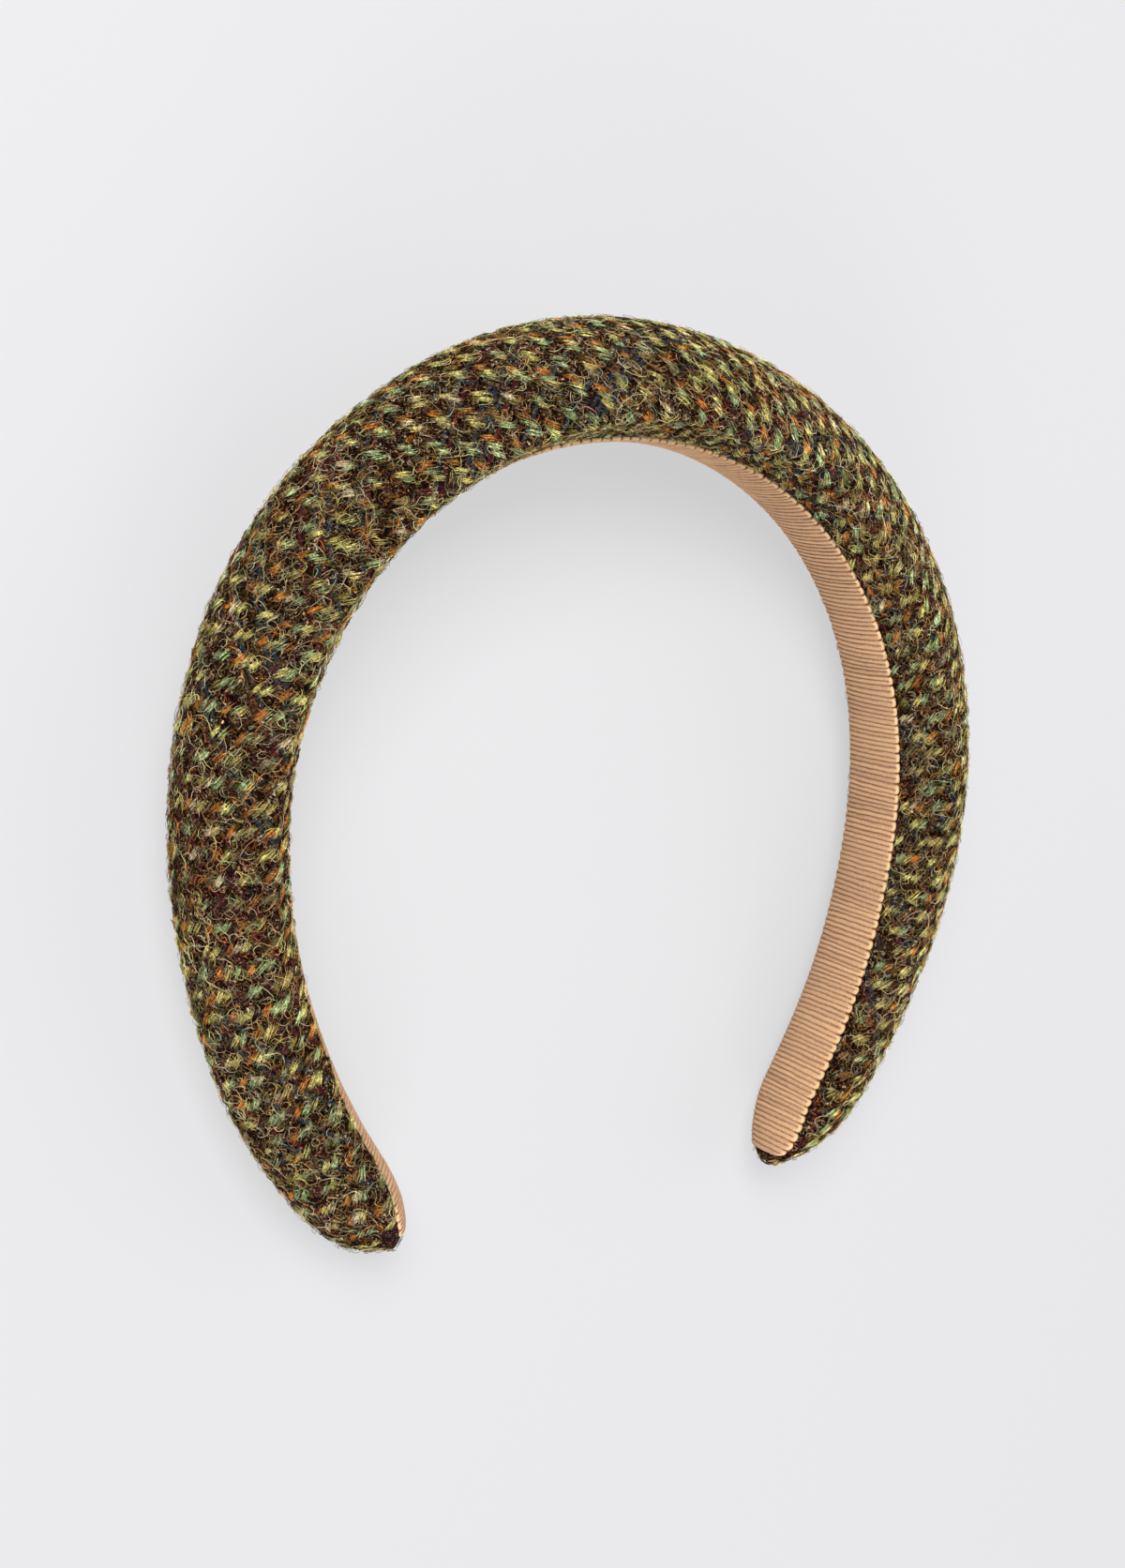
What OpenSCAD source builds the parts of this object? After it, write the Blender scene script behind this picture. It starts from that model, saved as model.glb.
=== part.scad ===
// Padded headband: a thick rounded band of tweed over padding, bent to a hoop that is open
// between its two tips, with a ribbed ribbon along the side that meets the head. It lies on
// its side as it rests by itself: the crown points to +Y, the tips to -Y and the front edge
// up to +Z. Units are millimetres.

/* [Hoop] */
// From the crown middle to a tip, along the side that meets the head
half_arc = 200; // [150:1:240]
// How much shorter the right half is than the left, as it was bent by hand
half_difference = 4; // [0:0.5:6]

/* [Tweed cover] */
// Width of the band at the crown, from front edge to back edge
crown_width = 46.5; // [36:0.5:60]
// Width that the band has tapered to at a tip, before the tip rounds off
tip_width = 23; // [20:0.5:34]
// Height of the padded dome over the band's edges, at the crown
crown_pad = 17; // [12:0.5:26]
// Height of the padded dome over the band's edges, at a tip
tip_pad = 10; // [7:0.5:18]
// How far the side that meets the head swells past the band's edges, at the crown
head_swell = 4.6; // [1:0.1:6]
// Length over which a tip rounds off
tip_round = 17; // [14:1:30]
// Fullness of a tip's rounding: 2 is an ellipse, 3 is squarer
tip_fullness = 1.6; // [1.4:0.1:4]
// Slope of the padded dome's shoulders: 1 is half an ellipse, 2 is a low arch
dome_slope = 1.55; // [1:0.05:1.9]
// Slope of the side that meets the head: 1 is half an ellipse, 2 is a low arch
head_slope = 1.75; // [1:0.05:2]
// Depth of the deepest dent in the padding
dent_depth = 0.8; // [0:0.1:1.6]
// How much the padding flattens where the band lies on the floor
rest_flat = 0.4; // [0.2:0.1:0.8]

/* [Ribbon] */
// Width of the ribbon
ribbon_width = 17.5; // [8:0.5:19]
// Thickness of the ribbon
ribbon_thickness = 1; // [1:0.1:1.6]
// Bare tweed left between the ribbon's end and the tip
ribbon_setback = 3; // [2:0.5:12]
// Length over which the ribbon's end is trimmed round
ribbon_round = 10; // [6:0.5:14]
// Space between the ribbon and the tweed
ribbon_gap = 0.2; // [0.15:0.05:0.4]

/* [Hidden] */

// Sections evenly spaced from the crown middle to a tip. Columns: bend in radians per half
// arc; width and pad on the way from the tip's size (0) to the crown's (1); swell as a share
// of the crown's.
BEND = 0;
WIDTH = 1;
PAD = 2;
SWELL = 3;
PROFILE = [
    [2.97, 1.00, 1.00, 1.00],
    [3.18, 0.70, 0.93, 0.90],
    [2.63, 0.60, 0.72, 1.20],
    [1.97, 0.51, 0.44, 1.50],
    [0.95, 0.10, 0.36, 1.65],
    [-0.80, 0.00, -0.10, 1.15],
];

// Dents in the padding. Columns: place as a share of the half arc, below 0 on the left; turn
// round the section (0 floor edge, 90 dome, 180 front edge, 270 head); reach along the band as
// a share of the crown's width; reach round the section; depth as a share of the deepest dent,
// below 0 for a swelling.
DENTS = [
    [-0.86, 95, 0.45, 50, -0.7],
    [-0.70, 160, 0.30, 45, 0.3],
    [-0.50, 95, 0.80, 60, 0.8],
    [-0.48, 225, 0.30, 25, 0.6],
    [-0.31, 75, 0.40, 50, -0.3],
    [-0.20, 120, 0.25, 30, 0.3],
    [-0.10, 80, 0.60, 50, -0.6],
    [-0.06, 225, 0.30, 25, 1.0],
    [0.09, 95, 0.50, 50, 0.4],
    [0.22, 60, 0.30, 40, 0.3],
    [0.33, 140, 0.40, 45, 0.5],
    [0.47, 330, 0.60, 30, 0.6],
    [0.62, 90, 0.35, 40, -0.3],
    [0.88, 135, 0.25, 50, -0.7],
];

steps = 36; // stations from the crown middle to where a tip begins to round
tip_steps = 9; // stations round a tip
around = 36; // points round the section
across = 8; // strips over the ribbon's width

// A column of PROFILE at share u of the half arc, as a smooth curve through the rows
function at(col, u) =
    let (
        n = len(PROFILE) - 1,
        f = min(u * n, n - 0.00001),
        i = floor(f),
        t = f - i,
        a = PROFILE[abs(i - 1)][col],
        b = PROFILE[i][col],
        c = PROFILE[i + 1][col],
        d = PROFILE[min(i + 2, n)][col]
    )
    b + t / 2 * (c - a + t * (2 * a - 5 * b + 4 * c - d + t * (3 * (b - c) + d - a)));

// The crest of the side that meets the head, summed from the bend in fine steps. Columns:
// distance along it, x, y, and the band's turn from level
fine = 400;
LINE = [
    for (i = 0, x = 0, y = 0, turn = 0, bend = 0; i <= fine;
         bend = at(BEND, (i + 0.5) / fine) / fine * 180 / PI,
         x = x + half_arc / fine * cos(turn + bend / 2),
         y = y - half_arc / fine * sin(turn + bend / 2),
         turn = turn + bend,
         i = i + 1)
        [i / fine * half_arc, x, y, turn]
];
LINE_X = [for (r = LINE) [r[0], r[1]]];
LINE_Y = [for (r = LINE) [r[0], r[2]]];
LINE_TURN = [for (r = LINE) [r[0], r[3]]];

// The point at distance s along the crest on one side, v up from the middle of the width and
// n out from the crest
function on_band(side, s, v, n) =
    let (
        t = side > 0 ? s * (1 - half_difference / half_arc) : s,
        turn = lookup(t, LINE_TURN)
    )
    [side * (lookup(t, LINE_X) + n * sin(turn)), lookup(t, LINE_Y) + n * cos(turn), v];

// The band's sizes at distance s: half the width, the pad's height, the swell's height and
// how far the edges lie out from the crest
function tip_share(s) =
    rounded(max(0, s - half_arc + tip_round) / tip_round, tip_fullness);
function rounded(x, fullness) = pow(max(0, 1 - pow(x, fullness)), 1 / fullness);
function half_width(s) =
    (tip_width + (crown_width - tip_width) * at(WIDTH, s / half_arc)) / 2 * tip_share(s);
function pad(s) =
    (tip_pad + (crown_pad - tip_pad) * at(PAD, s / half_arc)) * pow(tip_share(s), 0.6);
function edge_out(s) = head_swell * at(SWELL, s / half_arc);
function swell(s) = edge_out(s) * pow(tip_share(s), 0.6);

function sum(list) = len(list) == 0 ? 0 : list * [for (x = list) 1];
function dent(side, s, a) =
    dent_depth * sum([for (d = DENTS)
        d[4] * exp(-pow((side * s - d[0] * half_arc) / (d[2] * crown_width), 2)
                   - pow((a - d[1]) / d[3], 2))]);

// One ring of the cover
function section(side, s) =
    let (w = half_width(s), top = pad(s), low = swell(s), out = edge_out(s))
    [for (i = [0:around - 1])
        let (
            a = i * 360 / around,
            n = a <= 180 ? top * pow(sin(a), dome_slope) : -low * pow(-sin(a), head_slope),
            d = dent(side, s, a)
        )
        on_band(side, s, (d - w) * cos(a), out + n - d * sin(a))];

// Stations of a half, with the pole of a tip left out
STATIONS = concat(
    [for (i = [0:steps]) i * (half_arc - tip_round) / steps],
    [for (i = [1:tip_steps - 1]) half_arc - tip_round + tip_round * sin(i * 90 / tip_steps)]
);
function both_ways(list) = concat(
    [for (i = [len(list) - 1:-1:1]) [-1, list[i]]],
    [for (s = list) [1, s]]
);

RINGS = [for (k = both_ways(STATIONS)) section(k[0], k[1])];
RAW = concat(
    [on_band(-1, half_arc, 0, edge_out(half_arc))],
    [for (ring = RINGS) each ring],
    [on_band(1, half_arc, 0, edge_out(half_arc))]
);

// The band leans on its back edge, which is wider at the crown than at the tips: the lean is
// found from the lowest points of its two ends, a little better each round
function lowest(points, lean) =
    let (h = [for (p = points) p[1] * sin(lean) + p[2] * cos(lean)], low = min(h))
    [for (i = [0:len(points) - 1]) if (h[i] == low) points[i]][0];
UPPER = [for (p = RAW) if (p[1] > -half_arc / 3) p];
LOWER = [for (p = RAW) if (p[1] <= -half_arc / 3) p];
function leaning(lean, rounds) =
    rounds == 0 ? lean
    : let (c = lowest(UPPER, lean), t = lowest(LOWER, lean))
      leaning(atan2(t[2] - c[2], c[1] - t[1]), rounds - 1);
lean = leaning(0, 4);
function leant(p) =
    [p[0], p[1] * cos(lean) - p[2] * sin(lean), p[1] * sin(lean) + p[2] * cos(lean)];
LEANT = [for (p = RAW) leant(p)];
x_middle = (min([for (p = LEANT) p[0]]) + max([for (p = LEANT) p[0]])) / 2;
y_middle = (min([for (p = LEANT) p[1]]) + max([for (p = LEANT) p[1]])) / 2;
z_floor = min([for (p = LEANT) p[2]]) + rest_flat;
function rested(p) =
    let (q = leant(p))
    [q[0] - x_middle, q[1] - y_middle, max(q[2] - z_floor, 0)];

// Faces of a row of rings with m points each: skin between the rings, numbered from first
function skin(rings, m, first) = [
    for (k = [0:rings - 2], i = [0:m - 1])
        let (
            j = (i + 1) % m,
            a = first + k * m + i,
            b = first + k * m + j,
            c = a + m,
            d = b + m
        )
        each [[a, b, d], [a, d, c]]
];

module tweed_cover() {
    n = len(RINGS);
    last = n * around + 1;
    color("olivedrab")
    polyhedron(
        points = [for (p = RAW) rested(p)],
        faces = concat(
            [for (i = [0:around - 1]) [0, 1 + (i + 1) % around, 1 + i]],
            skin(n, around, 1),
            [for (i = [0:around - 1])
                [last, last - around + i, last - around + (i + 1) % around]]
        )
    );
}

// The ribbon follows the side that meets the head, and its ends are trimmed round
ribbon_end = half_arc - ribbon_setback;
RIBBON_STATIONS = concat(
    [for (s = STATIONS) if (s < ribbon_end - ribbon_round) s],
    [for (i = [0:4]) ribbon_end - ribbon_round + ribbon_round * sin(i * 90 / 4)]
);
function ribbon_share(s) =
    0.35 + 0.65 * rounded(max(0, s - ribbon_end + ribbon_round) / ribbon_round, 2);
function ribbon_ring(side, s) =
    let (
        w = half_width(s),
        half = ribbon_width / 2 * ribbon_share(s),
        back = [for (i = [0:across])
            let (
                v = half * (2 * i / across - 1),
                low = swell(s) * pow(max(0, 1 - pow(v / w, 2)), head_slope / 2)
            )
            [v, edge_out(s) - low - ribbon_gap]]
    )
    concat(
        [for (i = [across:-1:0]) on_band(side, s, back[i][0], back[i][1])],
        [for (q = back) on_band(side, s, q[0], q[1] - ribbon_thickness)]
    );

module grosgrain_lining() {
    rings = [for (k = both_ways(RIBBON_STATIONS)) ribbon_ring(k[0], k[1])];
    m = 2 * (across + 1);
    last = (len(rings) - 1) * m;
    // an end is closed by strips over the thickness
    function closing(first, flip) = [
        for (i = [0:across - 1])
            let (a = first + i, b = first + i + 1, c = first + m - 2 - i, d = first + m - 1 - i)
            each flip ? [[a, c, b], [a, d, c]] : [[a, b, c], [a, c, d]]
    ];
    color("tan")
    polyhedron(
        points = [for (ring = rings, p = ring) rested(p)],
        faces = concat(closing(0, true), skin(len(rings), m, 0), closing(last, false))
    );
}

tweed_cover();
grosgrain_lining();
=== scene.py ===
"""Dresses the packed padded headband: wool tweed over padding, a grosgrain ribbon lining, a pale floor,
soft light and the camera. Every length is in metres, in the packed part's own frame."""
import math

import bpy
import numpy as np
from bpy.props import FloatProperty, FloatVectorProperty, IntProperty, PointerProperty
from mathutils import Matrix, Vector


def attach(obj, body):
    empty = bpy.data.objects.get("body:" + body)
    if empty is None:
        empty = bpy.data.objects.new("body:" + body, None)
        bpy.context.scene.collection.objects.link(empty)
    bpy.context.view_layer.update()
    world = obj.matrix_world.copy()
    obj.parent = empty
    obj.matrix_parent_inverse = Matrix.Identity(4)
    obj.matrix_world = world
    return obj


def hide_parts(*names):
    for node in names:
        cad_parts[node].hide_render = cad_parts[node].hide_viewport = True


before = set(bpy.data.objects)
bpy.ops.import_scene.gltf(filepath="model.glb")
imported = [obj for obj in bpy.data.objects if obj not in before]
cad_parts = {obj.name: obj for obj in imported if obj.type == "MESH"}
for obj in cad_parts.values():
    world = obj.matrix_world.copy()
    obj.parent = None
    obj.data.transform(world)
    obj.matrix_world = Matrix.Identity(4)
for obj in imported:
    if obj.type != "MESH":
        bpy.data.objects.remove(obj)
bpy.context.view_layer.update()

bl_info = {
    "name": "Padded headband",
    "version": (1, 0, 0),
    "blender": (4, 5, 0),
    "location": "3D View > Sidebar > Headband",
    "description": "A tweed covered padded headband with a grosgrain ribbon lining",
    "category": "Add Mesh",
}

MM = 0.001

# Sizes and colours


def paint(red, green, blue):
    """A colour given on a 0 to 255 scale, as the linear values that Blender uses."""
    def linear(c):
        c /= 255
        return c / 12.92 if c <= 0.04045 else ((c + 0.055) / 1.055) ** 2.4
    return (linear(red), linear(green), linear(blue))


def length(name, mm, description):
    return FloatProperty(name=name, description=description, default=mm * MM, min=0,
                         unit="LENGTH", precision=5)


def ratio(name, value, description, low=0.0, high=10.0):
    return FloatProperty(name=name, description=description, default=value, min=low, max=high)


def angle(name, degrees, description):
    return FloatProperty(name=name, description=description, default=math.radians(degrees),
                         subtype="ANGLE")


def colour(name, rgb, description):
    return FloatVectorProperty(name=name, description=description, default=paint(*rgb), size=3,
                               min=0, max=1, subtype="COLOR")


class HEADBAND_PG_form(bpy.types.PropertyGroup):
    """The band's line, widths and padding, the same sizes as the part's source"""
    half_arc: length("Half arc", 200, "Crown middle to a tip, along the head side")
    half_difference: length("Half difference", 4, "How much shorter the right half is")
    crown_width: length("Crown width", 46.5, "Front edge to back edge at the crown")
    tip_width: length("Tip width", 23, "Front edge to back edge where a tip begins to round")
    crown_pad: length("Crown padding", 17, "Thickness from the edges to the crest at the crown")
    tip_pad: length("Tip padding", 10, "Thickness from the edges to the crest near a tip")
    head_swell: length("Head side swell", 4.6, "How far the head side stands in from the edges")
    tip_round: length("Tip rounding", 17, "Length over which a tip rounds off")
    tip_fullness: ratio("Tip fullness", 1.6, "2 is a round tip, more is squarer")
    dome_slope: ratio("Dome slope", 1.55, "1 is a half ellipse, more is a softer crest")
    head_slope: ratio("Head side slope", 1.75, "1 is a half ellipse, more is a low arch")
    dent_depth: length("Dent depth", 0.8, "Depth of the soft hollows in the padding")
    rest_flat: length("Resting flat", 0.4, "How far the padding is flattened where it lies")
    nap: length("Nap", 0.3, "Room that the floats and the loose wool take outside the cloth")
    ribbon_bulge: length("Bulge by the ribbon", 1.0,
                         "How far the padding swells past the ribbon's front edge")
    left_bulge: length("Left leg bulge", 2.4, "How much more it swells there near the left tip")
    back_inset: length("Back edge inset", 0.7, "How far the padding behind the ribbon stays back")
    right_raise: length("Right leg raise", 0.5, "How much prouder the right leg's head side is")
    left_raise: length("Left tip raise", 1.5, "How much prouder the head side is by the left tip")
    slack: length("Start inset", 0.55, "How much smaller the cover starts than it ends")
    swell_cap: length("Swell cap", 0.9, "The most that the padding may push the cover out")


class HEADBAND_PG_ribbon(bpy.types.PropertyGroup):
    """The grosgrain ribbon along the head side"""
    width: length("Width", 17.5, "Selvedge to selvedge")
    thickness: length("Thickness", 1, "Back to the top of a rib")
    setback: length("Setback", 3, "From a tip to the ribbon's end")
    end_round: length("End rounding", 10, "Length over which an end is trimmed round")
    gap: length("Gap", 0.2, "Between the cover and the ribbon's back")
    rib_pitch: length("Rib pitch", 1.07, "One rib to the next along the ribbon")
    rib_height: length("Rib height", 0.34, "Groove to rib top")
    selvedge: length("Selvedge loops", 0.42, "How far a loop stands out past the notch beside it")
    skew: ratio("Rib skew", 0.06, "How far the ribs slant, against the ribbon's width", -1, 1)
    thread: length("Thread pitch", 0.26, "One lengthwise thread to the next")


class HEADBAND_PG_weave(bpy.types.PropertyGroup):
    """The tweed's two and two twill, cut on the bias"""
    step: length("Light yarn step", 1.49, "One crossing to the next along a light yarn")
    lean: angle("Light yarn lean", 34.8, "Light yarns against the band's length")
    cross_step: length("Cross yarn step", 1.32, "One crossing to the next along a cross yarn")
    cross_lean: angle("Cross yarn lean", -37.3, "Cross yarns against the band's length")
    drift: ratio("Drift", 0.06, "How much the cloth turns from one tip to the other")
    float_width: length("Float width", 1.0, "Width of one float")
    float_height: length("Float height", 0.46, "Thickness of one float")
    fibres: IntProperty(name="Fibres", description="Bunched fibres in one float", default=8)
    fibre: length("Fibre", 0.2, "Thickness of one fibre")
    float_rise: length("Float rise", 0.16, "How far a float's middle stands above the cloth")
    float_overlap: ratio("Float overlap", 1.2, "Float length against the two crossings under it")


class HEADBAND_PG_fuzz(bpy.types.PropertyGroup):
    """The loose wool on the tweed"""
    curls: IntProperty(name="Curls", description="Short curled strands in all", default=16400)
    long_curls: IntProperty(name="Long curls", description="Longer strands in all", default=900)
    strand: length("Strand", 0.088, "Thickness of a strand")
    reach: length("Reach", 5.0, "Usual length of a short strand")
    long_reach: length("Long reach", 9.0, "Usual length of a long strand")
    height: length("Height", 0.34, "Usual height of a strand above the cloth")


class HEADBAND_PG_colours(bpy.types.PropertyGroup):
    """Yarn, wool, ribbon and floor colours, and the shade painted in the ribbon's grooves"""
    moss: colour("Moss", (234, 222, 136), "Light yellow green yarn")
    sage: colour("Sage", (156, 176, 126), "Light grey green yarn")
    rust: colour("Rust", (200, 122, 46), "Orange brown yarn")
    plum: colour("Plum", (66, 22, 32), "Dark red yarn")
    pine: colour("Pine", (32, 48, 58), "Dark blue green yarn")
    bark: colour("Bark", (28, 14, 12), "Dark brown cross yarn")
    umber: colour("Umber", (116, 76, 42), "Middle brown wool")
    olive: colour("Olive", (126, 116, 54), "Middle olive wool")
    tan: colour("Tan", (186, 150, 98), "Light brown wool")
    straw: colour("Straw", (234, 216, 172), "Pale wool")
    ribbon: colour("Ribbon", (235, 184, 132), "Top of the ribbon's ribs")
    # painted shade: the colour painted in the grooves between the ribs and in the notches between the
    # edge loops
    groove_shade: colour("Groove", (112, 50, 20), "Between the ribs")
    selvedge: colour("Selvedge", (228, 190, 144), "Loops at the ribbon's edges")
    floor: colour("Floor", (232, 232, 234), "The floor under the band")


class HEADBAND_PG_stage(bpy.types.PropertyGroup):
    """Camera and light. The camera's angles are against the band stood up on its tips"""
    turn: angle("Turn", -28.371, "Camera round the upright band, from the front")
    lift: angle("Lift", 13.04, "Camera above the upright band's level")
    roll: angle("Roll", 1.992, "Camera turned about its own axis")
    distance: length("Distance", 436.22, "Camera to the point it aims at")
    aim_drop: length("Aim drop", 75, "Point aimed at, below the crown's head side")
    focal: FloatProperty(name="Focal length", description="For a 36 mm sensor", default=50.502,
                         subtype="DISTANCE_CAMERA")
    shift_x: ratio("Sideways shift", -0.0204, "Photograph's framing", -1, 1)
    shift_y: ratio("Upward shift", 0.0209, "Photograph's framing", -1, 1)
    sky: ratio("Sky", 0.29, "Strength of the even light from all round")
    key: ratio("Key", 13.5, "Power of the large light over the front, in watts", 0, 100)
    fill: ratio("Fill", 5.5, "Power of the light from the other side, in watts", 0, 100)
    low: ratio("Low light", 8.0, "Power of the light from the open end, in watts", 0, 100)
    glow: ratio("Floor glow", 0.66, "How far the floor lights itself, as a light table does")


# The band's form

# Crown to tip, evenly spaced: bend in radians over a half arc, and three shares: of the way from
# the tip's width to the crown's, from the tip's padding to the crown's, and of the head side swell
BEND, WIDTH, PAD, SWELL = range(4)
PROFILE = np.array([
    [2.97, 1.00, 1.00, 1.00],
    [3.18, 0.70, 0.93, 0.90],
    [2.63, 0.60, 0.72, 1.20],
    [1.97, 0.51, 0.44, 1.50],
    [0.95, 0.10, 0.36, 1.65],
    [-0.80, 0.00, -0.10, 1.15],
])
# Soft hollows and swells: place as a share of the half arc, turn round the section in degrees,
# reach as a share of the crown width, reach in degrees, depth as a share of the dent depth
DENTS = [
    (-0.86, 95, 0.45, 50, -0.7), (-0.70, 160, 0.30, 45, 0.3), (-0.50, 95, 0.80, 60, 0.8),
    (-0.48, 225, 0.30, 25, 0.6), (-0.31, 75, 0.40, 50, -0.3), (-0.20, 120, 0.25, 30, 0.3),
    (-0.10, 80, 0.60, 50, -0.6), (-0.06, 225, 0.30, 25, 1.0), (0.09, 95, 0.50, 50, 0.4),
    (0.22, 60, 0.30, 40, 0.3), (0.33, 140, 0.40, 45, 0.5), (0.47, 330, 0.60, 30, 0.6),
    (0.62, 90, 0.35, 40, -0.3), (0.88, 135, 0.25, 50, -0.7),
]
# How the padding swells over the ribbon's front edge near the left tip: place from that tip as a
# share of the half arc, and share of the most that it swells
LEFT_BULGE = [(0.0, 0.0), (0.045, 0.0), (0.11, 1.0), (0.22, 1.0), (0.34, 0.2), (0.65, 0.2), (0.75, 0)]
# How far the head side stands prouder by the left tip, in the same two shares
LEFT_RAISE = [(0.0, 0.8), (0.05, 1.0), (0.09, 0.7), (0.14, 0.2), (0.19, 0.0)]
# Steps along a half arc in which its line is worked out
FINE = 400
# A tip's padding stays fuller than its width, by this power of the tip's share
TIP_HOLD = 0.6
# The part finds its lean on these steps along the straight of a half, over a tip and round the
# section, in this many rounds
REST_STEPS, REST_TIP_STEPS, REST_AROUND, REST_ROUNDS = 36, 9, 36, 4


def rounded(x, fullness):
    """How wide a rounded end still is, x of the way along its rounding."""
    return np.maximum(0, 1 - np.clip(x, 0, 1) ** fullness) ** (1 / fullness)


def smooth_column(column, share):
    """A column of the profile table at a share of the way from crown to tip, smoothly joined."""
    n = len(PROFILE) - 1
    f = np.minimum(np.asarray(share, float) * n, n - 1e-5)
    i = np.floor(f).astype(int)
    t = f - i
    rows = PROFILE[:, column]
    a, b, c, d = rows[np.abs(i - 1)], rows[i], rows[i + 1], rows[np.minimum(i + 2, n)]
    return b + t / 2 * (c - a + t * (2 * a - 5 * b + 4 * c - d + t * (3 * (b - c) + d - a)))


class Band:
    """The band's form from its sizes. along runs from the left tip to the right one on the head
    side, across from the back edge to the front one, out away from the head."""

    def __init__(self, form):
        self.form = form
        bends = smooth_column(BEND, (np.arange(FINE) + 0.5) / FINE) / FINE
        turn = np.concatenate([[0], np.cumsum(bends)])
        middle = turn[:-1] + bends / 2
        step = form.half_arc / FINE
        self.line = np.linspace(0, form.half_arc, FINE + 1)
        self.x = np.concatenate([[0], np.cumsum(step * np.cos(middle))])
        self.y = np.concatenate([[0], -np.cumsum(step * np.sin(middle))])
        self.turn = turn
        self.lean, self.middle = 0.0, np.zeros(3)
        self._rest()

    def on_band(self, along, across, out):
        side = np.where(along < 0, -1.0, 1.0)
        s = np.abs(along)
        s = np.where(along > 0, s * (1 - self.form.half_difference / self.form.half_arc), s)
        x, y = np.interp(s, self.line, self.x), np.interp(s, self.line, self.y)
        turn = np.interp(s, self.line, self.turn)
        return np.stack([side * (x + out * np.sin(turn)), y + out * np.cos(turn),
                         across + 0 * x], -1)

    def tip_share(self, s):
        f = self.form
        return rounded(np.maximum(0, s - f.half_arc + f.tip_round) / f.tip_round, f.tip_fullness)

    def between(self, s, tip, crown, column):
        return tip + (crown - tip) * smooth_column(column, s / self.form.half_arc)

    def half_width(self, s):
        width = self.between(s, self.form.tip_width, self.form.crown_width, WIDTH)
        return width / 2 * self.tip_share(s)

    def pad(self, s):
        pad = self.between(s, self.form.tip_pad, self.form.crown_pad, PAD)
        return pad * self.tip_share(s) ** TIP_HOLD

    def edge_out(self, s):
        return self.form.head_swell * smooth_column(SWELL, s / self.form.half_arc)

    def swell(self, s):
        return self.edge_out(s) * self.tip_share(s) ** TIP_HOLD

    def dent(self, along, degrees):
        f, depth = self.form, 0.0
        for place, turn, reach, spread, share in DENTS:
            near = (along - place * f.half_arc) / (reach * f.crown_width)
            depth = depth + share * np.exp(-near ** 2 - ((degrees - turn) / spread) ** 2)
        return f.dent_depth * depth

    def section(self, along, degrees, inset=0.0):
        """The cover's skin. degrees turn round the section: 0 at the edge on the floor side, 90 at
        the crest, 180 at the front edge, 270 in the middle of the head side."""
        f, s = self.form, np.abs(along)
        degrees = np.asarray(degrees, float) % 360
        c, n = np.cos(np.radians(degrees)), np.sin(np.radians(degrees))
        out = np.where(degrees <= 180, self.pad(s) * np.abs(n) ** f.dome_slope,
                       -self.swell(s) * np.abs(n) ** f.head_slope)
        d = self.dent(along, degrees) + inset * np.minimum(1, 3 * self.tip_share(s))
        return self.on_band(along, (d - self.half_width(s)) * c, self.edge_out(s) + out - d * n)

    def head_side(self, s, across):
        """How far out the head side is, at a place across it."""
        x = np.clip(across / np.maximum(self.half_width(s), 1e-6), -1, 1)
        return self.edge_out(s) - self.swell(s) * (1 - x * x) ** (self.form.head_slope / 2)

    def _rest(self):
        """Finds how far the band leans on its back edge, and where its box's middle is."""
        f = self.form
        straight = f.half_arc - f.tip_round
        over_tip = np.radians(90 / REST_TIP_STEPS * np.arange(1, REST_TIP_STEPS))
        s = np.concatenate([np.arange(REST_STEPS + 1) / REST_STEPS * straight,
                            straight + f.tip_round * np.sin(over_tip)])
        along = np.concatenate([-s[:0:-1], s])
        degrees = np.arange(REST_AROUND) * (360 / REST_AROUND)
        raw = self.section(along[:, None], degrees[None]).reshape(-1, 3)
        ends = self.on_band(np.array([-1.0, 1.0]) * f.half_arc, np.zeros(2),
                            self.edge_out(np.full(2, f.half_arc)))
        raw = np.concatenate([raw, ends])
        upper, lower = raw[raw[:, 1] > -f.half_arc / 3], raw[raw[:, 1] <= -f.half_arc / 3]
        for _ in range(REST_ROUNDS):
            si, co = math.sin(self.lean), math.cos(self.lean)
            c = upper[np.argmin(upper[:, 1] * si + upper[:, 2] * co)]
            t = lower[np.argmin(lower[:, 1] * si + lower[:, 2] * co)]
            self.lean = math.atan2(t[2] - c[2], c[1] - t[1])
        leant = self.turned(raw)
        low, high = leant.min(0), leant.max(0)
        self.middle = np.array([(low[0] + high[0]) / 2, (low[1] + high[1]) / 2,
                                low[2] + f.rest_flat])

    def turned(self, p):
        """Leans directions or points about the band's width."""
        si, co = math.sin(self.lean), math.cos(self.lean)
        return np.stack([p[..., 0], p[..., 1] * co - p[..., 2] * si,
                         p[..., 1] * si + p[..., 2] * co], -1)

    def rested(self, p):
        """Points of the band as it lies on the floor."""
        q = self.turned(p) - self.middle
        q[..., 2] = np.maximum(q[..., 2], 0)
        return q


# Making meshes


def deselect():
    if bpy.context.mode != "OBJECT":
        bpy.ops.object.mode_set(mode="OBJECT")
    bpy.ops.object.select_all(action="DESELECT")


def make_active(piece):
    deselect()
    bpy.context.view_layer.objects.active = piece
    piece.select_set(True)


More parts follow.
